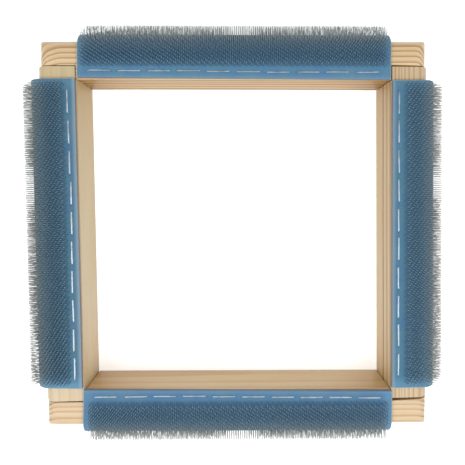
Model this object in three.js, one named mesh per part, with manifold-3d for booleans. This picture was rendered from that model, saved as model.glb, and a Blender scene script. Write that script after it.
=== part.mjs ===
// Punch needle frame: four pine bars, rabbeted and screwed together at the corners, each with a strip
// of card clothing wrapped over its rounded outer edge, stapled down, its bent steel pins outward.
// Millimetres. X right, Y to the rear, Z up. The frame lies flat with its pins up, its underside at z = 0.

import * as THREE from "three";
import { mergeVertices } from "three/addons/utils/BufferGeometryUtils.js";
import Module from "manifold-3d";

const wasm = await Module();
wasm.setup();

// Driving dimensions of the bars
const openingWidth = 280;
const barWidth = 35;
const barDepth = 45;
const edgeRadius = 9.5;
const arrisRadius = 0.8;
const rabbetDepth = 11.3;
const longBarInset = 1.2;
const jointGap = 0.9;
const shoulderGap = 0.7;

// Driving dimensions of the card clothing
const clothThickness = 3.5;
const clothInset = 0.3;
const clothEndInset = 2.2;
const clothEdgeRadius = 1.2;
const bendEase = 0.6;
const airGap = 3;
const returnRadius = 5;
const lowerMargin = 9;
const seatGap = 0.3;

// Driving dimensions of the pins
const bareMargin = 9.9;
const bandWidth = 39;
const bandEndMargin = 3.6;
const backingThickness = 0.8;
const pinHeight = 7.3;
const kneeHeight = 3;
const pinLean = THREE.MathUtils.degToRad(17);
const pinRadius = 0.5;
const pinRoot = 0.4;
const pinRows = 6;
const pinColumns = 16;

// Driving dimensions of the staples
const stapleCount = 10;
const stapleCrown = 21.2;
const stapleLeg = 14;
const wireWidth = 1.2;
const wireThickness = 0.6;
const stapleLine = 5.1;
const stapleEndMargin = 9;

// Driving dimensions of the screws
const screwLength = 45;
const screwHeadRadius = 4;
const screwHeadHeight = 2.6;
const screwShankRadius = 2;
const screwTipLength = 5;
const screwFromBottom = 11;
const screwFromTop = 15.5;
const screwSides = 10;
const recessWidth = 1;
const recessSpan = 4;
const recessDepth = 1.8;

// Clearance round whatever sits in a hole, slot or pocket
const clearance = 0.3;

// Sizes that follow from the driving dimensions
const halfOpening = openingWidth / 2;
const outerFace = halfOpening + barWidth;
const barCentre = halfOpening + barWidth / 2;
const longBarHalf = outerFace - longBarInset;
const shortBarHalf = halfOpening + rabbetDepth - jointGap;
const clothLength = openingWidth - 2 * clothEndInset;
const clothTop = barDepth + seatGap + clothThickness;
const bendRadius = edgeRadius + bendEase + clothThickness;
const bendCentreOut = barWidth + airGap + clothThickness - bendRadius;
const bendCentreUp = clothTop - bendRadius;
const returnTurn = Math.acos(1 - (airGap - seatGap) / (bendRadius + returnRadius));
const flatLength = bendCentreOut - clothInset;
const bendEnd = flatLength + bendRadius * (Math.PI / 2 + returnTurn);
const returnEnd = bendEnd + returnRadius * returnTurn;
const clothWidth = returnEnd + lowerMargin;
const bandLength = clothLength - 2 * bandEndMargin;
const staplePitch = (clothLength - 2 * stapleEndMargin - stapleCrown) / (stapleCount - 1);
const screwHeights = [screwFromBottom, barDepth - screwFromTop];

// Materials
const pine = new THREE.MeshStandardMaterial({ color: 0xe2c08f, roughness: 0.6, metalness: 0 });
const rubber = new THREE.MeshStandardMaterial({ color: 0x4f85a8, roughness: 0.55, metalness: 0 });
const pinSteel = new THREE.MeshStandardMaterial({ color: 0x8c949a, roughness: 0.35, metalness: 1 });
const stapleSteel = new THREE.MeshStandardMaterial({ color: 0xdfe8ee, roughness: 0.25, metalness: 1 });
const screwSteel = new THREE.MeshStandardMaterial({ color: 0xc9b26a, roughness: 0.35, metalness: 1 });

// Solids are joined and cut as manifolds, then become geometry again
function toSolid(geometry) {
  const bare = geometry.clone();
  bare.deleteAttribute("normal");
  bare.deleteAttribute("uv");
  const sameVertex = 1e-4;
  const merged = mergeVertices(bare, sameVertex);
  const corners = merged.index.array;
  const triangles = [];
  for (let first = 0; first < corners.length; first += 3) {
    const triangle = corners.slice(first, first + 3);
    if (new Set(triangle).size === 3) {
      triangles.push(...triangle);
    }
  }
  return closedBody(merged.attributes.position.array, triangles);
}

function closedBody(positions, triangles) {
  const mesh = new wasm.Mesh({
    numProp: 3,
    vertProperties: new Float32Array(positions),
    triVerts: new Uint32Array(triangles),
  });
  return new wasm.Manifold(mesh);
}

function toGeometry(solid) {
  const mesh = solid.getMesh();
  const geometry = new THREE.BufferGeometry();
  geometry.setAttribute("position", new THREE.BufferAttribute(new Float32Array(mesh.vertProperties), 3));
  geometry.setIndex(new THREE.BufferAttribute(new Uint32Array(mesh.triVerts), 1));
  geometry.computeVertexNormals();
  return geometry;
}

function box(sizeX, sizeY, sizeZ, x, y, z) {
  const geometry = new THREE.BoxGeometry(sizeX, sizeY, sizeZ);
  geometry.translate(x, y, z);
  return toSolid(geometry);
}

// A closed outline in (outward, up), extruded along the bar and centred on its length
function alongBar(outline, length) {
  const shape = new THREE.Shape(outline);
  const geometry = new THREE.ExtrudeGeometry(shape, { depth: length, bevelEnabled: false });
  geometry.translate(0, 0, -length / 2);
  const turn = new THREE.Matrix4().makeBasis(
    new THREE.Vector3(0, 1, 0),
    new THREE.Vector3(0, 0, 1),
    new THREE.Vector3(1, 0, 0),
  );
  geometry.applyMatrix4(turn);
  return geometry;
}

// A rectangle's outline whose four corners are arcs, each with its own radius and number of steps
function roundedOutline(left, bottom, right, top, corners) {
  const centres = [
    [left + corners[0].radius, bottom + corners[0].radius, Math.PI],
    [right - corners[1].radius, bottom + corners[1].radius, 1.5 * Math.PI],
    [right - corners[2].radius, top - corners[2].radius, 0],
    [left + corners[3].radius, top - corners[3].radius, 0.5 * Math.PI],
  ];
  return centres.flatMap(([x, y, start], corner) => {
    const { radius, steps } = corners[corner];
    return Array.from({ length: steps + 1 }, (unused, step) => {
      const angle = start + (step / steps) * (Math.PI / 2);
      return new THREE.Vector2(x + radius * Math.cos(angle), y + radius * Math.sin(angle));
    });
  });
}

// Bars, in a side's own frame: length along X, outward along Y, the opening's middle at the origin
const arris = { radius: arrisRadius, steps: 2 };
const roundedEdge = { radius: edgeRadius, steps: 8 };

function barSection() {
  return roundedOutline(halfOpening, 0, outerFace, barDepth, [arris, arris, roundedEdge, arris]);
}

// The long bars' ends are rounded like the outer edge, so their length has an outline too
function longBarSolid() {
  const body = toSolid(alongBar(barSection(), 2 * longBarHalf));
  const corners = [arris, arris, roundedEdge, roundedEdge];
  const endOutline = roundedOutline(-longBarHalf, 0, longBarHalf, barDepth, corners);
  const endShape = new THREE.Shape(endOutline);
  const ends = new THREE.ExtrudeGeometry(endShape, { depth: barWidth, bevelEnabled: false });
  ends.rotateX(Math.PI / 2);
  ends.translate(0, outerFace, 0);
  return body.intersect(toSolid(ends));
}

// A rabbet leaves a tongue at each end of a long bar, with a gap at its shoulder
function cutRabbets(solid) {
  const shoulder = halfOpening - shoulderGap;
  const length = 2 * (longBarHalf - shoulder);
  return [-1, 1].reduce((rest, side) => {
    const cut = box(length, 2 * rabbetDepth, 2 * barDepth, side * longBarHalf, halfOpening, barDepth / 2);
    return rest.subtract(cut);
  }, solid);
}

// A screw's profile as (radius, distance from the face that it is driven into), grown by a margin
function screwProfile(margin) {
  const headEnd = screwHeadHeight + margin;
  const tipStart = screwLength - screwTipLength;
  return [
    new THREE.Vector2(0, -margin),
    new THREE.Vector2(screwHeadRadius + margin, -margin),
    new THREE.Vector2(screwShankRadius + margin, headEnd),
    new THREE.Vector2(screwShankRadius + margin, tipStart),
    new THREE.Vector2(0, screwLength + margin),
  ];
}

// The profile turned about the screw's axis, which runs inward along Y from the outer face
function screwGeometry(margin) {
  const geometry = new THREE.LatheGeometry(screwProfile(margin), screwSides);
  geometry.rotateX(Math.PI);
  geometry.translate(0, outerFace, 0);
  return geometry;
}

function screwSolid() {
  const body = toSolid(screwGeometry(0));
  const depth = outerFace - recessDepth / 2 + clearance / 2;
  const along = box(recessSpan, recessDepth + clearance, recessWidth, 0, depth, 0);
  const across = box(recessWidth, recessDepth + clearance, recessSpan, 0, depth, 0);
  return body.subtract(along.add(across));
}

// Both kinds of bar are cut by the same screws, set where each lies in that bar's own frame
function cutScrewHoles(solid, placeHole) {
  return screwHeights.reduce(
    (rest, height) =>
      [-1, 1].reduce((cut, side) => cut.subtract(toSolid(placeHole(side, height))), rest),
    solid,
  );
}

function longBarHole(side, height) {
  return screwGeometry(clearance).translate(side * barCentre, 0, height);
}

function shortBarHole(side, height) {
  const hole = screwGeometry(clearance).translate(0, 0, height);
  hole.rotateZ((-side * Math.PI) / 2);
  return hole.translate(0, barCentre, 0);
}

// Staples: their places along a strip, then one staple and the slots for its legs
const stapleOutward = halfOpening + clothInset + stapleLine;
const stapleStarts = Array.from(
  { length: stapleCount },
  (unused, index) => stapleEndMargin - clothLength / 2 + stapleCrown / 2 + index * staplePitch,
);

function stapleGeometry() {
  const half = stapleCrown / 2;
  const inner = half - wireThickness;
  const under = clothTop + seatGap;
  const top = under + wireThickness;
  const foot = under - stapleLeg;
  const outline = [
    [-half, foot],
    [-inner, foot],
    [-inner, under],
    [inner, under],
    [inner, foot],
    [half, foot],
    [half, top],
    [-half, top],
  ].map(([x, z]) => new THREE.Vector2(x, z));
  const shape = new THREE.Shape(outline);
  const geometry = new THREE.ExtrudeGeometry(shape, { depth: wireWidth, bevelEnabled: false });
  geometry.translate(0, 0, -wireWidth / 2);
  geometry.rotateX(Math.PI / 2);
  return geometry;
}

function legSlots() {
  const length = stapleLeg + 2 * clearance;
  const height = clothTop + seatGap - stapleLeg - clearance + length / 2;
  const sizeX = wireThickness + 2 * clearance;
  const sizeY = wireWidth + 2 * clearance;
  const offset = (stapleCrown - wireThickness) / 2;
  const slots = stapleStarts.flatMap((start) =>
    [-1, 1].map((side) => box(sizeX, sizeY, length, start + side * offset, stapleOutward, height)),
  );
  return slots.reduce((all, slot) => all.add(slot));
}

// Card clothing: a point of its section, at a distance along its face and a height over that face
function clothPoint(along, height) {
  if (along <= flatLength) {
    return new THREE.Vector2(halfOpening + clothInset + along, clothTop + height);
  }
  const bendTurn = Math.PI / 2 + returnTurn;
  const turn = (Math.min(along, bendEnd) - flatLength) / bendRadius;
  const bendCentre = new THREE.Vector2(halfOpening + bendCentreOut, bendCentreUp);
  if (along <= bendEnd) {
    return faceNormal(turn).multiplyScalar(bendRadius + height).add(bendCentre);
  }
  const reach = bendRadius + returnRadius;
  const returnCentre = faceNormal(bendTurn).multiplyScalar(reach).add(bendCentre);
  const back = bendTurn - (Math.min(along, returnEnd) - bendEnd) / returnRadius;
  const onReturn = faceNormal(back).multiplyScalar(height - returnRadius).add(returnCentre);
  return onReturn.sub(new THREE.Vector2(0, Math.max(0, along - returnEnd)));
}

// The direction square to the cloth's face, by how far the face has turned from level
function faceNormal(turn) {
  return new THREE.Vector2(Math.sin(turn), Math.cos(turn));
}

// Distances along the face where a stretch of the section needs a point
function stations(from, to) {
  const bendSteps = 10;
  const returnSteps = 3;
  const leastStep = 0.01;
  const onBend = Array.from({ length: bendSteps + 1 }, (unused, step) =>
    flatLength + (step / bendSteps) * (bendEnd - flatLength));
  const onReturn = Array.from({ length: returnSteps }, (unused, step) =>
    bendEnd + ((step + 1) / returnSteps) * (returnEnd - bendEnd));
  const inside = [...onBend, ...onReturn].filter(
    (along) => along > from + leastStep && along < to - leastStep,
  );
  return [from, ...inside, to];
}

// The outline of a layer of the cloth between two distances along it and two heights
function layerOutline(from, to, low, high) {
  const places = stations(from, to);
  const under = places.map((along) => clothPoint(along, low));
  const over = places.map((along) => clothPoint(along, high)).reverse();
  return [...under, ...over];
}

// The whole section, its face rounded over at both long edges
function clothOutline() {
  const steps = 3;
  const rounding = Array.from({ length: steps + 1 }, (unused, step) => {
    const angle = (step / steps) * (Math.PI / 2);
    return [clothEdgeRadius * (1 - Math.cos(angle)), clothEdgeRadius * (Math.sin(angle) - 1)];
  });
  const innerEdge = rounding.map(([inward, height]) => clothPoint(inward, height));
  const outerEdge = rounding.map(([inward, height]) => clothPoint(clothWidth - inward, height)).reverse();
  const face = stations(clothEdgeRadius, clothWidth - clothEdgeRadius).slice(1, -1);
  const over = face.map((along) => clothPoint(along, 0));
  const under = stations(0, clothWidth).map((along) => clothPoint(along, -clothThickness)).reverse();
  return [...innerEdge, ...over, ...outerEdge, ...under];
}

function clothSolid() {
  const pocket = layerOutline(
    bareMargin - clearance,
    bareMargin + bandWidth + clearance,
    -backingThickness - clearance,
    clearance,
  );
  const body = toSolid(alongBar(clothOutline(), clothLength));
  return body.subtract(toSolid(alongBar(pocket, bandLength + 2 * clearance)));
}

// One pin, three sided: square to the face up to its knee, then leaning outward to a ground point
function pinPoints(x, along) {
  const turn = Math.max(0, (along - flatLength) / bendRadius);
  const upright = faceNormal(turn);
  const leaning = faceNormal(turn + pinLean);
  const knee = clothPoint(along, kneeHeight);
  const tip = leaning.clone().multiplyScalar(pinHeight - kneeHeight).add(knee);
  const rings = [
    { centre: clothPoint(along, -pinRoot), normal: upright },
    { centre: knee, normal: faceNormal(turn + pinLean / 2) },
  ].flatMap(({ centre, normal }) =>
    [0, 1, 2].map((corner) => {
      const angle = (corner / 3) * 2 * Math.PI;
      const across = pinRadius * Math.cos(angle);
      return [
        x + pinRadius * Math.sin(angle),
        centre.x + across * normal.y,
        centre.y - across * normal.x,
      ];
    }));
  return [...rings, [x, tip.x, tip.y]];
}

// Rows lie across the band; each row is shifted a third of a column from the one before
function pinPlaces() {
  const rowPitch = bandWidth / pinRows;
  const columnPitch = bandLength / pinColumns;
  return Array.from({ length: pinRows * pinColumns }, (unused, index) => {
    const row = index % pinRows;
    const column = Math.floor(index / pinRows);
    const shift = (1 - (row % 3)) / 3;
    return {
      x: (column + 0.5 + shift) * columnPitch - bandLength / 2,
      along: bareMargin + (row + 0.5) * rowPitch,
    };
  });
}

function pinsSolid() {
  const positions = [];
  const triangles = [];
  for (const { x, along } of pinPlaces()) {
    const first = positions.length / 3;
    positions.push(...pinPoints(x, along).flat());
    for (const corner of [0, 1, 2]) {
      const a = first + corner;
      const b = first + ((corner + 1) % 3);
      triangles.push(a, b + 3, b, a, a + 3, b + 3, a + 3, first + 6, b + 3);
    }
    triangles.push(first, first + 1, first + 2);
  }
  return closedBody(positions, triangles);
}

function pinFieldSolid() {
  const slice = layerOutline(bareMargin, bareMargin + bandWidth, -backingThickness, 0);
  return toSolid(alongBar(slice, bandLength)).add(pinsSolid());
}

// Assembly: one turned group for each side, and the whole in one group
function namedMesh(name, geometry, material) {
  const mesh = new THREE.Mesh(geometry, material);
  mesh.name = name;
  return mesh;
}

const slots = legSlots();
const longBar = cutScrewHoles(cutRabbets(longBarSolid()), longBarHole).subtract(slots);
const shortBarBody = toSolid(alongBar(barSection(), 2 * shortBarHalf));
const shortBar = cutScrewHoles(shortBarBody, shortBarHole).subtract(slots);
const cloth = toGeometry(clothSolid().subtract(slots));
const pinField = toGeometry(pinFieldSolid());
const staple = stapleGeometry();
const screw = toGeometry(screwSolid());
const barGeometry = { long: toGeometry(longBar), short: toGeometry(shortBar) };

function buildSide(name, turn, kind) {
  const side = new THREE.Group();
  side.add(namedMesh(`${name}_bar`, barGeometry[kind], pine));
  side.add(namedMesh(`${name}_card_cloth`, cloth, rubber));
  side.add(namedMesh(`${name}_pin_field`, pinField, pinSteel));
  stapleStarts.forEach((start, index) => {
    const number = String(index + 1).padStart(2, "0");
    const one = namedMesh(`${name}_staple_${number}`, staple, stapleSteel);
    one.position.set(start, stapleOutward, 0);
    side.add(one);
  });
  side.rotation.z = turn;
  return side;
}

// The screws belong to the long bars, two at each end; ends are listed from the side's own left
function addScrews(side, name, ends) {
  ends.forEach((end, place) => {
    screwHeights.forEach((height, index) => {
      const level = ["lower", "upper"][index];
      const one = namedMesh(`${name}_${end}_screw_${level}`, screw, screwSteel);
      one.position.set((2 * place - 1) * barCentre, 0, height);
      side.add(one);
    });
  });
  return side;
}

const frame = new THREE.Group();
frame.add(addScrews(buildSide("rear", 0, "long"), "rear", ["left", "right"]));
frame.add(buildSide("left", Math.PI / 2, "short"));
frame.add(addScrews(buildSide("front", Math.PI, "long"), "front", ["right", "left"]));
frame.add(buildSide("right", -Math.PI / 2, "short"));

export default frame;
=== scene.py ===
# Punch needle frame: pine bars with wrapped strips of card clothing, seen flat from above.
# Sizes are in millimetres until a mesh is made; Blender's own objects are in metres.
import math

import bpy
import numpy as np
from mathutils import Matrix, Vector


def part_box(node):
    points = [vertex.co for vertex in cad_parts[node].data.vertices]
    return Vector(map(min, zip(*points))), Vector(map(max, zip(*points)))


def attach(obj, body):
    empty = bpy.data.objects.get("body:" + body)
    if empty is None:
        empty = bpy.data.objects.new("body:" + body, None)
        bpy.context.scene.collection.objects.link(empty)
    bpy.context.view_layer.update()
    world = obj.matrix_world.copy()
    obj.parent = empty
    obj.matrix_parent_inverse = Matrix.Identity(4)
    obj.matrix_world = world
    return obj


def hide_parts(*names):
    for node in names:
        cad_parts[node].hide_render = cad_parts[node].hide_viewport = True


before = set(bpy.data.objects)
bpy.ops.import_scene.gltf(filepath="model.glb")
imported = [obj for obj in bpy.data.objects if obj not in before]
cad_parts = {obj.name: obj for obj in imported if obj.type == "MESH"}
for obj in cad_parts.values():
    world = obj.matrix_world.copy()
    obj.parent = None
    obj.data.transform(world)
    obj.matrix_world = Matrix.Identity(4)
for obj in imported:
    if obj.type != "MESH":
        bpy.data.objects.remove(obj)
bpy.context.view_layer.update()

MM = 0.001
SIDES = {"rear": 0.0, "left": 90.0, "front": 180.0, "right": -90.0}
LONG_SIDES = ("rear", "front")
STAPLES_PER_SIDE = 10


def box_mm(node):
    low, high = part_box(node)
    return [v / MM for v in low], [v / MM for v in high]


# Sizes read from the frame, in the rear side's own axes: along X, outward Y, up Z
bar_low, bar_high = box_mm("rear_bar")
cloth_low, cloth_high = box_mm("rear_card_cloth")
staple_low, staple_high = box_mm("rear_staple_01")
screw_low, screw_high = box_mm("rear_right_screw_lower")
half_opening, outer_face = bar_low[1], bar_high[1]
long_half, bar_depth = bar_high[0], bar_high[2]
short_half = box_mm("left_bar")[1][1]
cloth_half, cloth_top = cloth_high[0], cloth_high[2]

# The photographed frame is a little out of square, so its sides turn in pairs about their middles
SKEW = math.radians(-0.34)

# Sizes of the bars
EDGE_RADIUS = 9.5
CORNER_RADIUS = 1.1
ARRIS_RADIUS = 0.5
JOINT_ARRIS = 0.3
BEVELS = (("round_over", "WEIGHT", EDGE_RADIUS, 9), ("ease", "ANGLE", JOINT_ARRIS, 2))
BEVEL_ANGLE = math.radians(35)
FACE_SLACK = 3.0
TONGUE_GAP = 0.2
BAR_SMOOTH_ANGLE = 30.0
FLAT_NORMAL = 0.9999

# What planing left of each bar: how far its inner face, its outer face at both ends and its two
# end faces stand outside their usual places
BARS = {
    "rear": {"inner": 0.0, "outer": (0.6, 1.3), "ends": (0.3, -0.4)},
    "left": {"inner": -0.2, "outer": (1.4, 1.2), "ends": (0.0, 0.0)},
    "front": {"inner": 0.0, "outer": (0.3, 0.6), "ends": (0.55, 2.1)},
    "right": {"inner": -0.15, "outer": (-0.3, -0.55), "ends": (0.0, 0.0)},
}

# Each corner's joint, at its shoulder and at its outer end: the line past the short bar's usual end
# and the gap that it shows, then how far the long bar's shoulder stands past the opening and how much
# thinner the short bar's end is beside it
JOINTS = {
    ("rear", -1): {"line": (1.9, 1.8), "gap": (0.7, 0.5), "shoulder": 0.5, "thinner": 1.5},
    ("rear", 1): {"line": (2.45, 1.95), "gap": (1.4, 0.8), "shoulder": 0.5, "thinner": 1.5},
    ("front", 1): {"line": (0.6, 1.2), "gap": (1.0, 0.35), "shoulder": -0.9, "thinner": 0.0},
    ("front", -1): {"line": (-0.25, -1.6), "gap": (2.5, 1.2), "shoulder": -0.9, "thinner": 0.0},
}

# The long bar's end that each end of a short bar meets
CORNERS = {
    ("left", 1): ("rear", -1), ("left", -1): ("front", 1),
    ("right", 1): ("front", -1), ("right", -1): ("rear", 1),
}

# Sizes of the card clothing
CLOTH_THICKNESS = 3.5
RUBBER_THICKNESS = 1.2
BEND_RADIUS = 13.6
RETURN_RADIUS = 5.0
SEAT_GAP = 0.3
PLY_LEVELS = (0.0, -RUBBER_THICKNESS, -1.9, -2.7, -CLOTH_THICKNESS)
PLY_STEP = 0.12

# A strip's edges: their rounding, how far across the painted highlight of the rim, slant and offset reach,
# and the ripple
ROUNDING = 0.9
RIM_HIGHLIGHT_REACH = 3.2
SLANT_REACH = 30.0
OFFSET_REACH = 25.0
RIPPLE_HEIGHT = 0.12
RIPPLE_LENGTH = 17.0
RIPPLE_REACH = 5.0

# The grid of a strip's face: fine under the staples, coarser under the pins
MARGIN_END = 9.0
FINE_STEP = 0.3
COARSE_STEP = 1.1
RUN_COLUMNS = 400

# How each strip was cut and laid: inset of its inner edge at the middle and what that gains toward
# its far end, step along its bar, extra half length, how much longer its inner edge is at both ends,
# swell past the rounded edge, and how strong the painted highlight on its cut rim is
STRIPS = {
    "rear": {
        "inset": 0.55, "gain": -0.85, "step": 0.65, "longer": 1.1,
        "slant": (0.3, 0.0), "swell": 0.5, "rim": 0.2,
    },
    "left": {
        "inset": 0.85, "gain": 0.0, "step": 1.5, "longer": 1.1,
        "slant": (0.8, 0.0), "swell": 2.0, "rim": 0.65,
    },
    "front": {
        "inset": -0.2, "gain": -1.0, "step": 0.35, "longer": 2.65,
        "slant": (0.0, -0.8), "swell": 0.5, "rim": 0.2,
    },
    "right": {
        "inset": 0.55, "gain": -0.45, "step": -0.7, "longer": 1.0,
        "slant": (0.0, 0.0), "swell": 0.0, "rim": 0.5,
    },
}

# How far from the bar's inner edge each row of staples runs and its step along the bar, both from
# its first staple to its last
ROWS = {
    "rear": {"staples": (7.4, 7.1, 6.2, 6.4), "step": (-0.8, -0.6, -0.2, 0.0)},
    "left": {"staples": (6.9, 7.1, 6.1, 7.7), "step": (-1.2, -1.2, -0.6, 2.0)},
    "front": {"staples": (6.7, 6.0, 4.8, 5.1), "step": (-1.6, -1.0, 0.3, 1.2)},
    "right": {"staples": (6.6, 6.1, 5.6, 5.7), "step": (-2.0, -2.0, -2.0, -2.2)},
}

# Where each band of pins starts, its step along the bar, its rows' least pitch and how tall its pins
# stand: a whole number of rows fills the band
BANDS = {
    "rear": {"start": 10.5, "step": 0.7, "pitch": 1.09, "height": 8.0},
    "left": {"start": 9.8, "step": 1.8, "pitch": 1.08, "height": 7.4},
    "front": {"start": 9.7, "step": -0.4, "pitch": 1.06, "height": 7.9},
    "right": {"start": 11.0, "step": -1.2, "pitch": 1.2, "height": 7.5},
}

# Sizes of the pins
BAND_WIDTH = 41.2
BAND_END_MARGIN = 2.2
BEND_END_MARGIN = 4.0
KNEE_HEIGHT = 3.0
KNEE_BEND = 0.5
ROOT_DEPTH = 0.6
PIN_LEAN = math.radians(17)
WIRE_RADIUS = 0.28
WIRE_SIDES = 6
TIP_THICKNESS = 0.86
COMB_PITCH = 1.7
TWILL = 3
PAIR_CLOSENESS = 0.3
WIRES_EACH_WAY = 40

# How far the pins stray: in place, and in tilt along the bar, both more round the bend, then in lean
# and in height
PLACE_SCATTER = 0.06
TURN_SCATTER = 0.02
TILT_DEGREES = 0.5
TURN_TILT_DEGREES = 0.1
LEAN_SCATTER = math.radians(2.0)
REACH_SCATTER = 0.08

# Sizes of the staples
WIRE_WIDTH = 1.45
WIRE_THICKNESS = 0.6
STAPLE_LEG = 14.0
STAPLE_CORNER = 0.9
STAPLE_SIDES = 12
CORNER_STEPS = 6
SQUARENESS = 0.6
STAPLE_BITE = 0.22
LOWER_LEG = 8.0
LOWER_STAPLE_RISE = 4.2

# How deep a staple's crown and its legs press into the rubber, at least and at most
CROWN_CREASE = (0.15, 0.25)
LEG_PIT = (0.2, 0.5)
PIT_STEP = 0.2

# How far the staples stray: along the bar, across it, in depth, in height and in turn
RUN_SCATTER = 0.2
LINE_SCATTER = 0.1
SEAT_SCATTER = 0.05
LEVEL_SCATTER = 0.15
STAPLE_TWIST = math.radians(0.5)

# Sizes of the screws
SCREW_LENGTH = screw_high[1] - screw_low[1]
HEAD_RADIUS = (screw_high[2] - screw_low[2]) / 2
SHANK_RADIUS = 1.9
CORE_RADIUS = 1.35
THREAD_RADIUS = 2.0
THREAD_FROM = 18.0
THREAD_PITCH = 1.8
THREAD_STEP = 0.22
POINT_LENGTH = 6.0
POINT_RADIUS = 0.05
HEAD_RIM = 0.5
SCREW_SINK = 0.5
SCREW_SIDES = 28
HOLE_GAP = 0.2
HOLE_ABOVE = 2.0
HOLE_BELOW = 1.0
HOLE_SIDES = 32

# The cross recess at its mouth and at its floor: depth, half span and half width of a blade
RECESS = ((-0.4, 2.2, 0.55), (1.9, 0.7, 0.3))


# Side frames: every piece is made on the rear side and turned to its own
def turned(side):
    skew = SKEW if side in LONG_SIDES else -SKEW
    middle = Vector((0.0, (half_opening + outer_face) / 2 * MM, 0.0))
    slide = Vector((skew * middle.y, 0.0, 0.0))
    own = Matrix.Translation(middle + slide) @ Matrix.Rotation(skew, 4, "Z") @ Matrix.Translation(-middle)
    return Matrix.Rotation(math.radians(SIDES[side]), 4, "Z") @ own


def linked(name, data):
    made = bpy.data.objects.new(name, data)
    bpy.context.scene.collection.objects.link(made)
    return made


def show(name, mesh, side=None, replaces=()):
    piece = linked(name, mesh)
    if side:
        piece.matrix_world = turned(side)
    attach(piece, "root")
    if replaces:
        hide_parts(*replaces)
    return piece


def mesh_from(name, points, faces, materials, face_slots=None, smooth_angle=40.0):
    mesh = bpy.data.meshes.new(name)
    mesh.from_pydata((np.asarray(points, float) * MM).tolist(), [], faces)
    for material in materials:
        mesh.materials.append(material)
    if face_slots is not None:
        mesh.polygons.foreach_set("material_index", np.asarray(face_slots, np.int32))
    mesh.polygons.foreach_set("use_smooth", np.ones(len(mesh.polygons), bool))
    mesh.set_sharp_from_angle(angle=math.radians(smooth_angle))
    mesh.update()
    return mesh


# The faces round a run of rings, then the face that closes each end
def tube_faces(rings, sides):
    quads = []
    for ring in range(rings - 1):
        for number in range(sides):
            a, b = ring * sides + number, ring * sides + (number + 1) % sides
            quads.append([a, b, b + sides, a + sides])
    last = (rings - 1) * sides
    return quads, [list(range(sides))[::-1], list(range(last, last + sides))]


def point_layer(mesh, name, values):
    layer = mesh.attributes.new(name, "FLOAT", "POINT")
    layer.data.foreach_set("value", np.asarray(values, np.float32).reshape(-1))


# Node graphs: a small set of helpers, so that a material reads as a list of steps
class Graph:
    def __init__(self, name):
        self.material = bpy.data.materials.new(name)
        self.material.use_nodes = True
        self.tree = self.material.node_tree
        self.shader = self.tree.nodes["Principled BSDF"]

    def node(self, kind, inputs=None, **settings):
        made = self.tree.nodes.new("ShaderNode" + kind)
        for key, value in settings.items():
            setattr(made, key, value)
        for key, value in (inputs or {}).items():
            self.feed(value, made.inputs[key])
        return made

    def feed(self, value, socket):
        if isinstance(value, bpy.types.NodeSocket):
            self.tree.links.new(value, socket)
        else:
            socket.default_value = value

    def math(self, operation, *values):
        made = self.node("Math", operation=operation)
        for value, socket in zip(values, made.inputs):
            self.feed(value, socket)
        return made.outputs[0]

    def vector(self, operation, *values):
        made = self.node("VectorMath", operation=operation)
        for value, socket in zip(values, made.inputs):
            self.feed(value, socket)
        return made.outputs["Value" if operation == "LENGTH" else "Vector"]

    def ramp(self, value, low, high, out_low=0.0, out_high=1.0, kind="SMOOTHSTEP"):
        inputs = {"Value": value, "From Min": low, "From Max": high}
        inputs.update({"To Min": out_low, "To Max": out_high})
        return self.node("MapRange", inputs, interpolation_type=kind).outputs["Result"]

    # How many of the listed places a value has passed, as a number with a fraction
    def count_past(self, value, places):
        low, high = places[0], places[-1]
        steps = len(places) - 1
        made = self.node("FloatCurve", {"Value": self.ramp(value, low, high, kind="LINEAR")})
        line = made.mapping.curves[0]
        for index, place in enumerate(places[1:-1], 1):
            line.points.new((place - low) / (high - low), index / steps)
        for point in line.points:
            point.handle_type = "VECTOR"
        made.mapping.update()
        return self.math("MULTIPLY", made.outputs[0], float(steps))

    def noise(self, place, scale, detail=3.0, roughness=0.5, seed=0.0):
        inputs = {"Vector": place, "W": seed, "Scale": scale, "Detail": detail}
        inputs["Roughness"] = roughness
        return self.node("TexNoise", inputs, noise_dimensions="4D").outputs

    def mix(self, share, first, second, blend="MIX"):
        made = self.node("Mix", data_type="RGBA", blend_type=blend)
        self.feed(share, made.inputs[0])
        self.feed(first, made.inputs[6])
        self.feed(second, made.inputs[7])
        return made.outputs[2]

    def stretched(self, place, x, y, z):
        return self.vector("MULTIPLY", place, (x, y, z))

    def place_mm(self):
        return self.stretched(self.node("TexCoord").outputs["Object"], 1 / MM, 1 / MM, 1 / MM)

    def parts(self, vector):
        split = self.node("SeparateXYZ", {0: vector})
        return split.outputs["X"], split.outputs["Y"], split.outputs["Z"]

    def grey(self, value):
        return self.node("CombineColor", {"Red": value, "Green": value, "Blue": value}).outputs[0]

    def attribute(self, name):
        return self.node("Attribute", attribute_name=name).outputs["Fac"]

    def bump(self, height, distance_mm, strength=1.0):
        inputs = {"Height": height, "Distance": distance_mm * MM, "Strength": strength}
        return self.node("Bump", inputs).outputs["Normal"]

    def set(self, **inputs):
        for key, value in inputs.items():
            self.feed(value, self.shader.inputs[key.replace("_", " ")])
        return self.material


def srgb(red, green, blue):
    def linear(value):
        value /= 255
        return value / 12.92 if value <= 0.04045 else ((value + 0.055) / 1.055) ** 2.4
    return (linear(red), linear(green), linear(blue), 1.0)


# The growth rings of a bar: those read from the photograph, carried on to both sides of them
RING_SPREAD = (0.75, 1.3)


def all_rings(seen, nearest, farthest, usual, rng):
    rings = list(seen)
    while rings[0] > nearest:
        rings.insert(0, rings[0] - usual * rng.uniform(*RING_SPREAD))
    while rings[-1] < farthest:
        rings.append(rings[-1] + usual * rng.uniform(*RING_SPREAD))
    return rings
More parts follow.
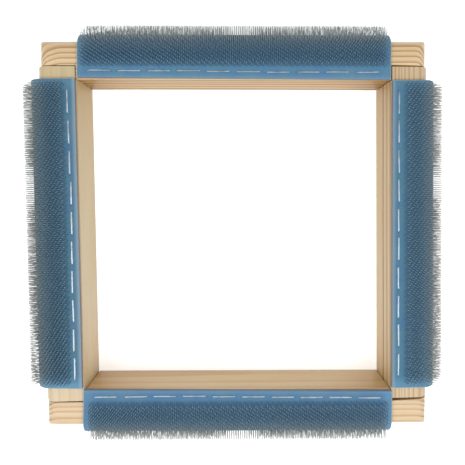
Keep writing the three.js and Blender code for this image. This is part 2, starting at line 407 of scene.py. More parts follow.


# Pine: rings about a pith beside the bar, fibres along it, darker lines where its ends round over
# Painted light on the wood: shade on the inner walls, warmer toward the corners and darker at their foot,
# and a sheen on faces that turn outward
CORNER_SHADE_TINT = (1.0, 0.95, 0.86, 1.0)
OUTWARD_SHEEN = srgb(214, 202, 184)
LOW_WALL_SHADE = srgb(176, 164, 146)
LATE_AT_END = srgb(112, 98, 84)


def pine_material(name, look):
    g = Graph(name)
    seed, tones = look["seed"], look["tones"]
    place = g.place_mm()
    along, outward, level = g.parts(place)
    sway = g.noise(g.stretched(place, 0.006, 0.02, 0.02), 1.0, 2.0, seed=seed)["Color"]
    sway = g.stretched(g.vector("SUBTRACT", sway, (0.5, 0.5, 0.5)), 0.0, look["sway"], look["sway"])
    (start_dip, start_span), (finish_dip, finish_span) = look["dips"]
    at_start = g.ramp(along, start_span - long_half, -long_half, kind="LINEAR")
    at_finish = g.ramp(along, long_half - finish_span, long_half, kind="LINEAR")
    at_start = g.math("MULTIPLY", g.math("POWER", at_start, 2.0), start_dip)
    at_finish = g.math("MULTIPLY", g.math("POWER", at_finish, 2.0), finish_dip)
    at_inner = g.ramp(outward, half_opening, half_opening + 9.0, -look["inner_rise"], 0.0)
    dip = g.math("ADD", g.math("ADD", at_start, at_finish), at_inner)
    dip = g.node("CombineXYZ", {"Z": dip}).outputs[0]
    moved = g.vector("SUBTRACT", g.vector("ADD", place, sway), dip)
    from_pith = g.stretched(g.vector("SUBTRACT", moved, (0.0, *look["pith"])), 0.0, 1.0, 1.0)
    radius = g.vector("LENGTH", from_pith)
    radius = g.math("ADD", radius, g.math("MULTIPLY", along, look["taper"]))
    nearest, farthest = look["reach"]
    rings = all_rings(look["rings"], nearest, farthest, look["usual_ring"], np.random.default_rng(int(seed)))
    turns = g.count_past(radius, rings)
    number, within = g.math("FLOOR", turns), g.math("FRACT", turns)
    own = g.node("TexWhiteNoise", {"W": g.math("ADD", number, seed)}, noise_dimensions="1D").outputs["Value"]

    # Wood darkens slowly to amber across a ring, then quickly to a latewood line that stops sharply
    fall = g.ramp(within, 0.955, 1.0, 1.0, 0.0)
    amber = g.math("MULTIPLY", g.ramp(within, 0.15, 0.8), fall)
    begin = g.ramp(own, 0.0, 1.0, 0.4, 0.62, "LINEAR")
    late = g.math("MULTIPLY", g.ramp(within, begin, 0.93), fall)
    late = g.math("MULTIPLY", late, g.ramp(own, 0.0, 1.0, 0.55, 1.0, "LINEAR"))
    mature = g.ramp(radius, look["juvenile"] - 6.0, look["juvenile"] + 6.0, 0.25, 1.0)
    facing_x, facing_y, _ = g.parts(g.node("TexCoord").outputs["Normal"])
    end_grain = g.ramp(g.math("ABSOLUTE", facing_x), 0.1, 0.75)
    strength = g.ramp(end_grain, 0.0, 1.0, look["late"], min(1.0, 2.0 * look["late"]))
    inner_face = g.ramp(g.math("MULTIPLY", facing_y, -1.0), 0.6, 0.9)
    strength = g.math("MULTIPLY", strength, g.ramp(inner_face, 0.0, 1.0, 1.0, look["wall_lines"]))
    late = g.math("MULTIPLY", g.math("MULTIPLY", late, mature), strength)
    # Painted sheen: faces that turn outward, and the ends, are paler and greyer
    edge_facing = g.math("MAXIMUM", facing_y, g.math("ABSOLUTE", facing_x))
    outward_sheen = g.ramp(edge_facing, 0.5, 0.85, 0.0, 0.5)

    fibres = g.noise(g.stretched(place, 0.02, 1.3, 1.3), 1.0, 4.0, 0.6, seed + 3)["Fac"]
    hairs = g.noise(g.stretched(place, 0.10, 5.0, 5.0), 1.0, 2.0, 0.6, seed + 5)["Fac"]
    cloud = g.noise(g.stretched(place, 0.012, 0.05, 0.05), 1.0, 2.0, seed=seed + 9)["Fac"]
    # The tone runs from the bar's start to its finish; on the side bars the paler front end is a painted
    # sheen
    colour = g.mix(g.ramp(along, -half_opening, half_opening), tones["start"], tones["finish"])
    colour = g.mix(g.ramp(cloud, 0.35, 0.65, 0.0, 0.3), colour, tones["amber"])
    colour = g.mix(g.math("MULTIPLY", amber, 0.75 * look["late"]), colour, tones["amber"])
    colour = g.mix(outward_sheen, colour, OUTWARD_SHEEN)
    colour = g.mix(late, colour, g.mix(end_grain, tones["late"], LATE_AT_END))
    # Painted shade on the inner walls: each bar's inner tone, warmer and deeper toward the corners
    near_corner = g.ramp(g.math("ABSOLUTE", along), 60.0, half_opening)
    wall_shade_tint = g.mix(near_corner, tones["inner"], g.mix(1.0, tones["inner"], CORNER_SHADE_TINT, "MULTIPLY"))
    colour = g.mix(inner_face, colour, g.mix(1.0, colour, wall_shade_tint, "MULTIPLY"))
    # Painted shade: the inner wall turns darker and greyer toward its foot
    low_wall_shade = g.math("MULTIPLY", inner_face, g.ramp(level, 4.0, 1.0, 0.0, 0.5))
    colour = g.mix(low_wall_shade, colour, LOW_WALL_SHADE)
    streak = g.math("MULTIPLY", g.ramp(fibres, 0.3, 0.7, 0.93, 1.05), g.ramp(hairs, 0.3, 0.7, 0.96, 1.03))
    colour = g.mix(1.0, colour, g.grey(streak), "MULTIPLY")
    height = g.math("ADD", g.math("MULTIPLY", late, 0.6), g.math("MULTIPLY", fibres, 0.8))
    rough = g.ramp(fibres, 0.3, 0.7, 0.42, 0.55)
    normal = g.bump(height, 0.12, 0.6)
    return g.set(Base_Color=colour, Roughness=rough, Normal=normal, Specular_IOR_Level=0.5)


# How each strip's margin and its band of pins are lightened or darkened as painted light, how much paler the
# rubber is toward its start and its far end, and where across a strip its pins are painted lit and painted
# in shade
MARGIN_SIDE_LIGHT = {
    "rear": (1.0, 1.0, 1.0, 1.0), "left": (0.88, 0.85, 0.80, 1.0),
    "front": (0.95, 0.93, 0.98, 1.0), "right": (0.84, 0.88, 0.84, 1.0),
}
BAND_SIDE_LIGHT = {
    "rear": (0.82, 0.87, 0.90, 1.0), "left": (0.86, 0.89, 0.88, 1.0),
    "front": (1.03, 1.03, 1.02, 1.0), "right": (0.97, 0.97, 0.96, 1.0),
}
END_PALE = {"rear": (0.0, 0.0), "left": (0.36, 0.1), "front": (0.2, 0.1), "right": (0.03, 0.25)}
BEND_LIT = (20.0, 38.0)
BEND_BACK_SHADE = (38.5, 46.5)


# The rubber face: blue and mottled, with a painted highlight along the cut inner edge, painted shade between
# the pins and a little less of that painted shade over the bend
def rubber_material(side):
    g = Graph(f"{side}_blue_rubber")
    place = g.place_mm()
    across = g.attribute("across")
    mottle = g.noise(place, 0.06, 3.0, 0.55, 1.0)["Fac"]
    tint = g.noise(place, 0.10, 2.0, 0.5, 7.0)["Fac"]
    grain = g.noise(place, 1.4, 3.0, 0.6, 2.0)["Fac"]
    blue = g.mix(g.ramp(mottle, 0.35, 0.65), srgb(76, 118, 156), srgb(87, 127, 154))
    colour = g.mix(g.ramp(tint, 0.4, 0.65, 0.0, 0.6), blue, srgb(78, 125, 148))
    colour = g.mix(g.ramp(grain, 0.35, 0.75, 0.0, 0.3), colour, srgb(102, 138, 156))
    # Painted light: each side's rubber is lightened or darkened by its own factor
    colour = g.mix(1.0, colour, MARGIN_SIDE_LIGHT[side], "MULTIPLY")
    from_end = g.attribute("to_end")
    # Painted shade between the pins, less of it toward the strip's ends and over the bend
    pin_shade_share = g.math("MULTIPLY", g.ramp(across, 8.0, 18.0), g.ramp(from_end, 1.0, 13.0, 0.15, 0.72))
    pin_shade_colour = g.mix(g.ramp(across, *BEND_LIT), srgb(64, 97, 123), srgb(84, 106, 120))
    colour = g.mix(pin_shade_share, colour, g.mix(1.0, pin_shade_colour, BAND_SIDE_LIGHT[side], "MULTIPLY"))
    # Painted highlight along the cut inner edge
    colour = g.mix(g.attribute("rim"), colour, srgb(146, 164, 180))
    near_end = g.ramp(from_end, 14.0, 2.0)
    near_end = g.math("MULTIPLY", near_end, g.ramp(g.parts(place)[0], -100.0, 100.0, *END_PALE[side]))
    colour = g.mix(near_end, colour, srgb(122, 172, 206))
    colour = g.mix(g.ramp(from_end, 1.0, 0.2, 0.0, 0.6), colour, srgb(190, 196, 192))
    return g.set(
        Base_Color=colour,
        Roughness=g.ramp(grain, 0.3, 0.7, 0.6, 0.75),
        Normal=g.bump(grain, 0.05, 0.5),
        Specular_IOR_Level=0.15,
    )


# The cut plies and the woven back: cotton and cement, in thin layers
def ply_material():
    g = Graph("woven_plies")
    place = g.place_mm()
    layer = g.math("FRACT", g.math("DIVIDE", g.attribute("depth"), 0.75))
    seam = g.ramp(g.math("ABSOLUTE", g.math("SUBTRACT", layer, 0.5)), 0.3, 0.5)
    fray = g.noise(place, 2.2, 3.0, 0.7, 4.0)["Fac"]
    colour = g.mix(seam, srgb(122, 118, 124), srgb(70, 70, 82))
    colour = g.mix(g.ramp(fray, 0.4, 0.7, 0.0, 0.5), colour, srgb(160, 154, 150))
    return g.set(Base_Color=colour, Roughness=0.85, Normal=g.bump(fray, 0.15, 0.7))


def wire_material(name, dark, light, roughness, scale):
    g = Graph(name)
    tarnish = g.noise(g.place_mm(), scale, 2.0, 0.5, 6.0)["Fac"]
    colour = g.mix(g.ramp(tarnish, 0.35, 0.65), dark, light)
    rough = g.ramp(tarnish, 0.3, 0.7, roughness, roughness + 0.15)
    return g.set(Base_Color=colour, Metallic=1.0, Roughness=rough)


# Pin wire: its tarnish is its own, its light and shade are painted. Over the flat it is painted in shade,
# tinted the blue of the shaded rubber, with a painted highlight at its tip; it is painted palest, as lit,
# where the bend begins, and painted greyer and darker, in shade, down the back of the bend
def pin_material(side):
    g = Graph(f"{side}_pin_steel")
    tarnish = g.noise(g.place_mm(), 0.9, 2.0, 0.5, 6.0)["Fac"]
    stain = g.ramp(tarnish, 0.3, 0.7)
    rise = g.ramp(g.attribute("rise"), 0.1, 1.0)
    tip = g.ramp(g.attribute("rise"), 0.7, 1.0)
    across = g.attribute("across")
    # Painted shade over the flat with a painted highlight at the tip, painted light on the bend, painted
    # shade down its back
    shaded_over_flat = g.mix(tip, g.mix(stain, srgb(98, 129, 149), srgb(116, 146, 164)), srgb(168, 194, 208))
    lit_on_bend = g.mix(rise, g.mix(stain, srgb(150, 156, 156), srgb(178, 182, 180)), srgb(200, 202, 200))
    shaded_behind = g.mix(rise, g.mix(stain, srgb(88, 89, 87), srgb(106, 106, 103)), srgb(138, 137, 133))
    colour = g.mix(g.ramp(across, *BEND_LIT), shaded_over_flat, lit_on_bend)
    # Painted light: each side's pins take the same factor as its band
    colour = g.mix(1.0, colour, BAND_SIDE_LIGHT[side], "MULTIPLY")
    colour = g.mix(g.ramp(across, *BEND_BACK_SHADE), colour, shaded_behind)
    return g.set(Base_Color=colour, Metallic=0.35, Roughness=g.ramp(tarnish, 0.3, 0.7, 0.4, 0.55))


def near(value, target, slack=0.01):
    return abs(value - target) < slack


# A corner's joint line at its shoulder and at its outer end, moved by a share of its gap
def joint_edge(corner, share):
    joint = JOINTS[corner]
    inner, outer = (short_half + line + share * gap for line, gap in zip(joint["line"], joint["gap"]))
    return (half_opening, inner), (outer_face, outer)


def long_outline(side):
    left_shoulder, right_shoulder = (half_opening + JOINTS[side, end]["shoulder"] for end in (-1, 1))
    inner = half_opening + BARS[side]["inner"]
    left, right = (long_half + extra for extra in BARS[side]["ends"])
    left_face, right_face = (outer_face + extra for extra in BARS[side]["outer"])
    (_, left_inner), (_, left_outer) = joint_edge((side, -1), 0.5)
    (_, right_inner), (_, right_outer) = joint_edge((side, 1), 0.5)
    return [
        (-left_shoulder, inner), (right_shoulder, inner), (right_shoulder, right_inner),
        (right, right_outer), (right, right_face), (-left, left_face), (-left, left_outer),
        (-left_shoulder, left_inner),
    ]


# A short bar's ends follow the joint lines that are given along its neighbours
def short_outline(side):
    ends = {}
    for end in (-1, 1):
        long_side, sign = CORNERS[side, end]
        to_own = turned(side).inverted() @ turned(long_side)
        for run, out in joint_edge((long_side, sign), -0.5):
            place = to_own @ Vector((sign * run * MM, out * MM, 0.0))
            ends[end, run] = place.x / MM
    inner = half_opening + BARS[side]["inner"]
    start_face, finish_face = (outer_face + extra for extra in BARS[side]["outer"])
    start_tongue, finish_tongue = (
        tongue_outline(side, end, ends[end, half_opening], inner) for end in (-1, 1)
    )
    return [
        *reversed(start_tongue), *finish_tongue,
        (ends[1, outer_face], finish_face), (ends[-1, outer_face], start_face),
    ]


# The inner corner of a short bar's end, cut back where its neighbour's shoulder needs the room
def tongue_outline(side, end, tip, inner):
    thinner = JOINTS[CORNERS[side, end]]["thinner"]
    if not thinner:
        return [(tip, inner)]
    root = end * (half_opening - TONGUE_GAP)
    return [(root, inner), (root, inner + thinner), (tip, inner + thinner)]


def bevel_width(a, b, long_bar):
    top = near(a.z, bar_depth) and near(b.z, bar_depth)
    outer = near(a.y, outer_face, FACE_SLACK) and near(b.y, outer_face, FACE_SLACK)
    inner = near(a.y, half_opening, FACE_SLACK) and near(b.y, half_opening, FACE_SLACK)
    at_end = long_bar and near(abs(a.x), long_half, FACE_SLACK) and near(a.x, b.x)
    upright = near(a.x, b.x) and near(a.y, b.y)
    if upright:
        return CORNER_RADIUS if long_bar and outer else 0.0
    if top and (outer or at_end):
        return EDGE_RADIUS
    return ARRIS_RADIUS if inner or outer or at_end else 0.0


# Bars: a sawn block, its outer top edge rounded over first and every other edge eased after
def build_bar(side, material):
    outline = long_outline(side) if side in LONG_SIDES else short_outline(side)
    count = len(outline)
    points = [(x, y, z) for z in (0.0, bar_depth) for x, y in outline]
    faces = [list(range(count))[::-1], list(range(count, 2 * count))]
    faces += [[i, (i + 1) % count, count + (i + 1) % count, count + i] for i in range(count)]
    name = f"{side}_pine_bar"
    mesh = mesh_from(name, points, faces, [material], smooth_angle=BAR_SMOOTH_ANGLE)
    weights = mesh.attributes.new("bevel_weight_edge", "FLOAT", "EDGE")
    for index, edge in enumerate(mesh.edges):
        a, b = (mesh.vertices[v].co / MM for v in edge.vertices)
        weights.data[index].value = bevel_width(a, b, side in LONG_SIDES) / EDGE_RADIUS
    piece = show(name, mesh, side, [f"{side}_bar"])
    for title, method, width, segments in BEVELS:
        bevel = piece.modifiers.new(title, "BEVEL")
        bevel.limit_method = method
        bevel.angle_limit = BEVEL_ANGLE
        bevel.width = width * MM
        bevel.segments = segments
        bevel.use_clamp_overlap = False
        bevel.harden_normals = title == "ease"
    if side in LONG_SIDES:
        sink_holes(piece, side)


# Where a long bar's four screws sit: node, then along the bar, outward to the bar's face, and up
def screw_places(side):
    start, finish = BARS[side]["outer"]
    places = []
    for end in ("left", "right"):
        for level in ("lower", "upper"):
            node = f"{side}_{end}_screw_{level}"
            low, high = box_mm(node)
            run = (low[0] + high[0]) / 2 * (1 if side == "rear" else -1)
            face = outer_face + start + (finish - start) * (run / long_half + 1) / 2
            places.append((node, run, face, (low[2] + high[2]) / 2))
    return places


# A solid of revolution about the outward axis, from pairs of radius and depth under a face
def lathe(profile, sides, run, face, level):
    points = []
    for radius, depth in profile:
        for number in range(sides):
            angle = number / sides * 2 * math.pi
            points.append((run + radius * math.cos(angle), face - depth, level + radius * math.sin(angle)))
    quads, caps = tube_faces(len(profile), sides)
    return points, quads + caps


# What is left of a piece once a cutter is taken from it, with the piece's other modifiers
def carved(piece, cutter):
    cut = piece.modifiers.new("cut", "BOOLEAN")
    cut.operation, cut.solver, cut.object = "DIFFERENCE", "EXACT", cutter
    cut.use_self = True
    finished = bpy.data.meshes.new_from_object(piece.evaluated_get(bpy.context.evaluated_depsgraph_get()))
    bpy.data.objects.remove(cutter)
    return finished


# Each screw's head lies in a countersunk hole in the long bar's outer face
def sink_holes(piece, side):
    wide, narrow = HEAD_RADIUS + HOLE_GAP, SHANK_RADIUS + HOLE_GAP
    rim = SCREW_SINK + HEAD_RIM
    seat = rim + wide - narrow
    profile = [(wide, -HOLE_ABOVE), (wide, rim), (narrow, seat), (narrow, seat + HOLE_BELOW)]
    points, faces = [], []
    for _, run, face, level in screw_places(side):
        hole_points, hole_faces = lathe(profile, HOLE_SIDES, run, face, level)
        faces += [[len(points) + v for v in hole_face] for hole_face in hole_faces]
        points += hole_points
    cutter = linked("hole_cutter", mesh_from("hole_cutter", points, faces, []))
    cutter.matrix_world = piece.matrix_world
    piece.data = carved(piece, cutter)
    piece.modifiers.clear()
    shade_flat_faces(piece.data)


# The bevels' own normals no longer fit the carved faces, so these are shaded flat again
def shade_flat_faces(mesh):
    if "custom_normal" in mesh.attributes:
        mesh.attributes.remove(mesh.attributes["custom_normal"])
    for face in mesh.polygons:
        face.use_smooth = max(abs(v) for v in face.normal) < FLAT_NORMAL
    mesh.set_sharp_from_angle(angle=math.radians(BAR_SMOOTH_ANGLE))


def face_normal(turn):
    return np.stack([np.sin(turn), np.cos(turn)], -1)


# The section of a strip: flat, round the bend, then back to the bar and down its outer face
class Section:
    def __init__(self, side):
        silhouette = cloth_high[1] + STRIPS[side]["swell"]
        self.seat = outer_face + max(BARS[side]["outer"]) + SEAT_GAP
        self.centre = np.array([silhouette - BEND_RADIUS, cloth_top - BEND_RADIUS])
        return_drop = silhouette - (self.seat + CLOTH_THICKNESS)
        return_turn = math.acos(1 - return_drop / (BEND_RADIUS + RETURN_RADIUS))
        self.last_turn = math.pi / 2 + return_turn
        self.flat_length = self.centre[0] - half_opening
        self.bend_end = self.flat_length + BEND_RADIUS * self.last_turn
        self.return_end = self.bend_end + RETURN_RADIUS * return_turn
        self.outer_edge = self.return_end + self.point(self.return_end, 0.0)[1] - cloth_low[2]

    def turn(self, along):
        return np.clip((np.asarray(along, float) - self.flat_length) / BEND_RADIUS, 0, self.last_turn)

    # A point by its distance along the face from the bar's inner edge, and its height over the face
    def point(self, along, height):
        along, height = np.broadcast_arrays(np.asarray(along, float), np.asarray(height, float))
        flat = np.stack([half_opening + along, cloth_top + height], -1)
        bend = self.centre + face_normal(self.turn(along)) * (BEND_RADIUS + height)[..., None]
        return_centre = self.centre + face_normal(self.last_turn) * (BEND_RADIUS + RETURN_RADIUS)
        past_bend = (along - self.bend_end) / RETURN_RADIUS
        back = self.last_turn - np.clip(past_bend, 0, self.last_turn - math.pi / 2)
        back_point = return_centre + face_normal(back) * (height - RETURN_RADIUS)[..., None]
        back_point[..., 1] -= np.maximum(0, along - self.return_end)
        place = np.where((along <= self.flat_length)[..., None], flat, bend)
        return np.where((along > self.bend_end)[..., None], back_point, place)


sections = {side: Section(side) for side in SIDES}
staple_crown = staple_high[0] - staple_low[0]


# Where each staple of a row sits: along the bar, then how far from the bar's inner edge
def staple_places(side, rng):
    row = ROWS[side]
    boxes = [box_mm(f"rear_staple_{n:02d}") for n in range(1, STAPLES_PER_SIDE + 1)]
    share = np.linspace(0, 1, STAPLES_PER_SIDE)
    given = np.linspace(0, 1, len(row["staples"]))
    runs = [(low[0] + high[0]) / 2 for low, high in boxes]
    runs = runs + np.interp(share, given, row["step"]) + rng.normal(0, RUN_SCATTER, STAPLES_PER_SIDE)
    lines = np.interp(share, given, row["staples"]) + rng.normal(0, LINE_SCATTER, STAPLES_PER_SIDE)
    return list(zip(runs.tolist(), lines.tolist()))


# A staple's crown presses a crease into the rubber, and its legs pull it down at both ends
def staple_creases(places, run, along, rng):
    crease = np.zeros_like(run)
    for centre, line in places:
        beyond = np.maximum(0, np.abs(run - centre) - staple_crown / 2)
        off_line = along - line
        crease += rng.uniform(*CROWN_CREASE) * np.exp(-(beyond**2) / 0.3 - off_line**4 / 1.2)
        for end in (-1, 1):
            from_leg = run - centre - end * (staple_crown / 2 + PIT_STEP)
            crease += rng.uniform(*LEG_PIT) * np.exp(-(from_leg**2) / 0.5 - off_line**2 / 0.4)
    return crease


def rounded_drop(distance, radius):
    short = np.maximum(0, radius - distance)
    return radius - np.sqrt(np.maximum(0, radius**2 - short**2))


def build_cloth(side, places, rubber, plies, rng):
    cut, section = STRIPS[side], sections[side]
    half = cloth_half + cut["longer"]
    end = section.outer_edge
    edge = ROUNDING * (1 - np.cos(np.linspace(0, math.pi / 2, 6)))[:-1]
    margin = np.arange(ROUNDING, MARGIN_END, FINE_STEP)
    rest = np.arange(MARGIN_END + FINE_STEP, end - ROUNDING, COARSE_STEP)
    along = np.concatenate([edge, margin, rest, end - edge[::-1]])
    tips = half - ROUNDING * (1 - np.cos(np.linspace(0, math.pi / 2, 5)))
    flat_half = half - 1.3 * ROUNDING
    inside = np.linspace(-flat_half, flat_half, RUN_COLUMNS)
    run = np.concatenate([-tips, inside, tips[::-1]])
    drop = np.maximum(
        rounded_drop(np.minimum(along, end - along), ROUNDING)[None, :],
        rounded_drop(half - np.abs(run), ROUNDING)[:, None],
    )
    grid_run, grid_along = np.meshgrid(run, along, indexing="ij")
    moved_run, moved_along = laid(side, grid_run, grid_along, half)
    wave = np.sin(grid_run / RIPPLE_LENGTH + rng.uniform(0, 6))
    ripple = RIPPLE_HEIGHT * wave * np.exp(-grid_along / RIPPLE_REACH)
    face = ripple - drop - staple_creases(places, moved_run, moved_along, rng)

    # Rows of the section, from the face down through the plies to the back
    points, depth = [], []
    for number, level in enumerate(PLY_LEVELS):
        height = face if number == 0 else np.full_like(face, level)
        inset = PLY_STEP if number in (1, 2, 3) else 0.0
        squeezed_along = np.clip(grid_along, inset, end - inset)
        squeezed_run = np.clip(grid_run, inset - half, half - inset)
        row_run, row_along = laid(side, squeezed_run, squeezed_along, half)
        place = section.point(row_along, height)
        points.append(np.stack([row_run, place[..., 0], place[..., 1]], -1))
        depth.append(-np.minimum(height, 0))
    whole = (len(points), *face.shape)
    # Painted highlight across the rim of the cut inner edge, fading inward
    rim = cut["rim"] * np.clip(1.15 - grid_along / RIM_HIGHLIGHT_REACH, 0, 1)
    layers = {
        "across": np.broadcast_to(grid_along, whole),
        "rim": np.broadcast_to(rim, whole),
        "depth": np.array(depth),
        "to_end": np.broadcast_to(half - np.abs(grid_run), whole),
    }
    cloth_mesh(side, np.array(points), layers, rubber, plies)


# A strip lies a little askew: its inner edge runs in or out, and its ends are not cut square
def laid(side, run, along, half):
    cut = STRIPS[side]
    share = np.clip(1 - along / SLANT_REACH, -0.5, 1.0)
    slant = np.where(run < 0, -cut["slant"][0], cut["slant"][1]) * (run / half) ** 2 * share
    offset = cut["inset"] + cut["gain"] * run / half
    return run + cut["step"] + slant, along + offset * np.clip(1 - along / OFFSET_REACH, 0, 1)


# Only the outside of the block of rows is kept: face, back, two long edges and two ends
def cloth_mesh(side, points, layers, rubber, plies):
    levels, runs, alongs = points.shape[:3]
    index = np.arange(levels * runs * alongs).reshape(levels, runs, alongs)

    def sheet(grid, flip):
        a, b, c, d = grid[:-1, :-1], grid[1:, :-1], grid[1:, 1:], grid[:-1, 1:]
        return np.stack([a, d, c, b] if flip else [a, b, c, d], -1).reshape(-1, 4)

    faces = [sheet(index[0], False), sheet(index[-1], True)]
    slots = [0] * len(faces[0]) + [1] * len(faces[1])
    walls = (
        (index[:, :, 0], False), (index[:, :, -1], True),
        (index[:, 0, :], True), (index[:, -1, :], False),
    )
    for wall, flip in walls:
        for level in range(levels - 1):
            strip = sheet(wall[level : level + 2], flip)
            faces.append(strip)
            slots += [0 if level == 0 else 1] * len(strip)
    used, renumbered = np.unique(np.concatenate(faces), return_inverse=True)
    places, quads = points.reshape(-1, 3)[used], renumbered.reshape(-1, 4).tolist()
    mesh = mesh_from(f"{side}_foundation", places, quads, [rubber, plies], slots, 50.0)
    for name, values in layers.items():
        point_layer(mesh, name, values.reshape(-1)[used])
    show(f"{side}_foundation", mesh, side, [f"{side}_card_cloth"])


# Pins: rows across the band in a three-row twill, the two points of a wire closer together
def pin_places(side):
    pitch = COMB_PITCH * TWILL
    rows = int(BAND_WIDTH / BANDS[side]["pitch"])
    places = []
    for row in range(rows):
        along = BANDS[side]["start"] + (row + 0.5) * BAND_WIDTH / rows
        around = sections[side].turn(along) / (math.pi / 2)
        half = cloth_half - BAND_END_MARGIN - around * (BEND_END_MARGIN - BAND_END_MARGIN)
        number = np.arange(-WIRES_EACH_WAY, WIRES_EACH_WAY + 1)
        paired = np.where((number + (row + 1) // TWILL) % 2 == 0, 0.5, -0.5) * PAIR_CLOSENESS
        run = number * pitch - (row % TWILL) * COMB_PITCH + paired
        run = run[np.abs(run) < half]
        places += [(x + BANDS[side]["step"], along) for x in run]
    return np.array(places)


# Each pin is a round wire: straight out of the rubber, then leaning from its knee to its tip
def build_pins(side, material, rng):
    section = sections[side]
    places = pin_places(side)
    count = len(places)
    along = places[:, 1] + rng.normal(0, PLACE_SCATTER, count)
    turn = section.turn(along)
    run = places[:, 0] + rng.normal(0, 1, count) * (PLACE_SCATTER + TURN_SCATTER * turn)
    tilt = np.sin(rng.normal(0, 1, count) * np.radians(TILT_DEGREES + TURN_TILT_DEGREES * turn))
    lean = turn + PIN_LEAN + rng.normal(0, LEAN_SCATTER, count)
    reach = BANDS[side]["height"] - KNEE_HEIGHT + rng.normal(0, REACH_SCATTER, count)
    knee = section.point(along, KNEE_HEIGHT)
    upright, bent, leaning = face_normal(turn), face_normal((turn + lean) / 2), face_normal(lean)

    # Stations up a wire: centre in the section, distance from the root, axis, thickness and rise
    stations = (
        (section.point(along, -ROOT_DEPTH), 0.0, upright, 1.0, 0.0),
        (knee - upright * KNEE_BEND, KNEE_HEIGHT - KNEE_BEND, bent, 1.0, 0.35),
        (knee + leaning * KNEE_BEND, KNEE_HEIGHT + KNEE_BEND, leaning, 1.0, 0.5),
        (knee + leaning * reach[:, None], KNEE_HEIGHT + reach, leaning, TIP_THICKNESS, 1.0),
    )
    angle = np.arange(WIRE_SIDES) / WIRE_SIDES * 2 * math.pi
    rings, rise = [], []
    for flat, distance, axis, thickness, share in stations:
        centre = np.stack([run + distance * tilt, flat[:, 0], flat[:, 1]], -1)
        sideways = np.broadcast_to([1.0, 0.0, 0.0], (count, 3))
        forward = np.stack([np.zeros(count), axis[:, 1], -axis[:, 0]], -1)
        round_trip = np.cos(angle)[:, None] * sideways[:, None]
        round_trip = round_trip + np.sin(angle)[:, None] * forward[:, None]
        rings.append(centre[:, None] + WIRE_RADIUS * thickness * round_trip)
        rise.append(np.full((count, WIRE_SIDES), share))
    points = np.stack(rings, 1).reshape(-1, 3)
    first = WIRE_SIDES * len(stations) * np.arange(count)[:, None, None]
    quads, caps = tube_faces(len(stations), WIRE_SIDES)
    walls = (np.array(quads) + first).reshape(-1, 4).tolist()
    ends = (np.array(caps) + first).reshape(-1, WIRE_SIDES).tolist()
    mesh = mesh_from(f"{side}_wire_pins", points, walls + ends, [material], smooth_angle=62.0)
    point_layer(mesh, "rise", np.stack(rise, 1))
    point_layer(mesh, "across", np.repeat(along, WIRE_SIDES * len(stations)))
    show(f"{side}_wire_pins", mesh, side, [f"{side}_pin_field"])


def squared(value):
    return math.copysign(abs(value) ** SQUARENESS, value)


# Staples: flattened wire swept down one leg, over the crown and down the other
def staple_shape(leg):
    half = staple_crown / 2 - WIRE_THICKNESS / 2
    path = [(-half, -leg, 0.0)]
    for angle in np.linspace(0, math.pi / 2, CORNER_STEPS):
        x = STAPLE_CORNER * (1 - math.cos(angle)) - half
        path.append((x, STAPLE_CORNER * (math.sin(angle) - 1), angle))
    path += [(-x, z, math.pi - angle) for x, z, angle in reversed(path)]
    points = []
    for x, z, angle in path:
        for number in range(STAPLE_SIDES):
            place = number / STAPLE_SIDES * 2 * math.pi
            wide = squared(math.cos(place)) * WIRE_WIDTH / 2
            thick = squared(math.sin(place)) * WIRE_THICKNESS / 2
            points.append((x - thick * math.cos(angle), wide, z + thick * math.sin(angle)))

    # The sweep turns the other way round, so its faces do too
    quads, caps = tube_faces(len(path), STAPLE_SIDES)
    faces = [[a, d, c, b] for a, b, c, d in quads] + [cap[::-1] for cap in caps]
    return np.array(points), faces


def build_staples(side, places, material, rng):
    points, faces = staple_shape(STAPLE_LEG - WIRE_THICKNESS)
    for number, (centre, line) in enumerate(places, 1):
        twist = rng.normal(0, STAPLE_TWIST)
        cos, sin = math.cos(twist), math.sin(twist)
        across = np.array([[cos, sin, 0], [-sin, cos, 0], [0, 0, 1]])
        seat = cloth_top - STAPLE_BITE + WIRE_THICKNESS / 2 + rng.uniform(-SEAT_SCATTER, SEAT_SCATTER)
        middle = [centre, half_opening + line, seat]
        name = f"{side}_wire_staple_{number:02d}"
        mesh = mesh_from(name, points @ across + middle, faces, [material], smooth_angle=50.0)
        show(name, mesh, side, [f"{side}_staple_{number:02d}"])


# The second row holds the lower margin to the bar's outer face, under the pins' overhang
def build_lower_staples(side, places, material, rng):
    points, faces = staple_shape(LOWER_LEG)
    turned_out = points[:, [0, 2, 1]]
    seat = sections[side].seat + CLOTH_THICKNESS - STAPLE_BITE / 2 + WIRE_THICKNESS / 2
    all_points, all_faces = [], []
    for centre, _ in places:
        first = len(all_points) * len(points)
        level = cloth_low[2] + LOWER_STAPLE_RISE + rng.normal(0, LEVEL_SCATTER)
        all_points.append(turned_out + [centre, seat, level])
        all_faces += [[first + v for v in reversed(face)] for face in faces]
    name = f"{side}_lower_staples"
    mesh = mesh_from(name, np.concatenate(all_points), all_faces, [material], smooth_angle=50.0)
    show(name, mesh, side)


# Screws: countersunk head with a cross recess, plain shank, then a cut thread
def screw_radius(depth, share):
    radius = max(SHANK_RADIUS, HEAD_RADIUS - max(0.0, depth - HEAD_RIM))
    if depth > THREAD_FROM:
        wave = (depth / THREAD_PITCH - share) % 1.0
        radius = CORE_RADIUS + (THREAD_RADIUS - CORE_RADIUS) * max(0.0, 1 - abs(wave - 0.5) * 4)
    return max(POINT_RADIUS, radius * min(1.0, (SCREW_LENGTH - depth) / POINT_LENGTH))


